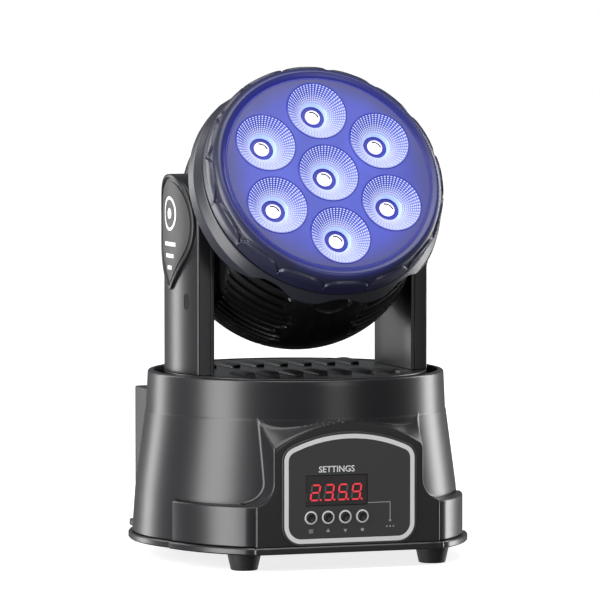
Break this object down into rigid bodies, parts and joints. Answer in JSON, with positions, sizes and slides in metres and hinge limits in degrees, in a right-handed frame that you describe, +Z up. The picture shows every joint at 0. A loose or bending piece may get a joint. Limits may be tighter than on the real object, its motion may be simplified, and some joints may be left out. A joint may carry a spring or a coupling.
{
  "type": "moving head light",
  "caption": "Compact stage light: a lensed head that tilts in a two-armed yoke, which pans on a base with a display, push buttons and rear sockets.",
  "frame": {"origin": "middle of the footprint, at the level the feet stand on", "axes": "+Z up; -Y is the front with the control panel; the tilt axis runs along X"},
  "size_m": [0.173, 0.1632, 0.2497],
  "materials": {
    "housing": "satin moulded ABS",
    "bezel": "semi-gloss moulded ABS",
    "inner_plastic": "matt moulded nylon",
    "panel_film": "printed polyester film",
    "display": "smoked LED window",
    "lens": "faceted clear acrylic",
    "foot_rubber": "matt moulded rubber",
    "steel": "zinc plated",
    "alloy": "machined",
    "circuit_board": "solder mask",
    "belt_rubber": "moulded neoprene",
    "socket_nylon": "moulded nylon",
    "cap_film": "printed grey film"
  },
  "bodies": {
    "base": {"bottom_plate": "housing", "base_shell": "housing", "foot_1": "foot_rubber", "foot_2": "foot_rubber", "foot_3": "foot_rubber", "foot_4": "foot_rubber", "control_panel": "panel_film", "display_module": "display", "display_board": "circuit_board", "rear_panel": "steel", "power_inlet": "socket_nylon", "dmx_input_socket": "socket_nylon", "dmx_output_socket": "socket_nylon", "chassis_frame": "steel", "pan_bearing": "steel", "pan_motor": "steel", "pan_belt": "belt_rubber", "power_supply_board": "circuit_board", "control_board": "circuit_board"},
    "yoke": {"turntable": "housing", "pan_shaft": "steel", "pan_pulley": "inner_plastic", "pan_circlip": "steel", "left_arm_shell": "housing", "right_arm_shell": "housing", "left_arm_cover": "housing", "right_arm_cover": "housing", "left_arm_cap": "cap_film", "right_arm_cap": "cap_film", "left_tilt_bearing": "steel", "right_tilt_bearing": "steel", "tilt_motor": "steel", "tilt_motor_bracket": "steel", "tilt_belt": "belt_rubber"},
    "head": {"front_bezel": "bezel", "head_ring": "bezel", "lens_plate": "bezel", "lens_1": "lens", "lens_2": "lens", "lens_3": "lens", "lens_4": "lens", "lens_5": "lens", "lens_6": "lens", "lens_7": "lens", "led_board": "circuit_board", "heat_sink": "alloy", "rear_shell": "housing", "fan_frame": "inner_plastic", "left_tilt_axle": "steel", "right_tilt_axle": "steel", "tilt_pulley": "inner_plastic"},
    "fan_rotor": {"fan_rotor": "inner_plastic"},
    "pan_motor_pulley": {"pan_motor_pulley": "alloy"},
    "tilt_motor_pulley": {"tilt_motor_pulley": "alloy"},
    "button_1": {"button_1": "inner_plastic"},
    "button_2": {"button_2": "inner_plastic"},
    "button_3": {"button_3": "inner_plastic"},
    "button_4": {"button_4": "inner_plastic"}
  },
  "joints": [
    {"name": "pan", "type": "hinge", "parent": "base", "child": "yoke", "pos_m": [0, 0, 0.055], "axis": [0, 0, 1], "range_deg": [-270, 270]},
    {"name": "pan_motor_turn", "type": "hinge", "parent": "base", "child": "pan_motor_pulley", "pos_m": [-0.046, 0, 0.055], "axis": [0, 0, 1], "range_deg": [-1160, 1160]},
    {"name": "tilt", "type": "hinge", "parent": "yoke", "child": "head", "pos_m": [0, 0, 0.1695], "axis": [-1, 0, 0], "range_deg": [-30, 150]},
    {"name": "tilt_motor_turn", "type": "hinge", "parent": "yoke", "child": "tilt_motor_pulley", "pos_m": [-0.0601, 0, 0.074], "axis": [-1, 0, 0], "range_deg": [-61, 301]},
    {"name": "fan_spin", "type": "hinge", "parent": "head", "child": "fan_rotor", "pos_m": [0, 0, 0.1695], "axis": [0, -0.866, 0.5], "continuous": true},
    {"name": "button_1_push", "type": "slide", "parent": "base", "child": "button_1", "axis": [0, 1, 0], "range_m": [0, 0.0008], "stiffness_N_per_m": 400},
    {"name": "button_2_push", "type": "slide", "parent": "base", "child": "button_2", "axis": [0, 1, 0], "range_m": [0, 0.0008], "stiffness_N_per_m": 400},
    {"name": "button_3_push", "type": "slide", "parent": "base", "child": "button_3", "axis": [0, 1, 0], "range_m": [0, 0.0008], "stiffness_N_per_m": 400},
    {"name": "button_4_push", "type": "slide", "parent": "base", "child": "button_4", "axis": [0, 1, 0], "range_m": [0, 0.0008], "stiffness_N_per_m": 400}
  ],
  "couplings": [
    {"joint": "pan_motor_turn", "follows": "pan", "ratio": 4.2857},
    {"joint": "tilt_motor_turn", "follows": "tilt", "ratio": 2}
  ]
}
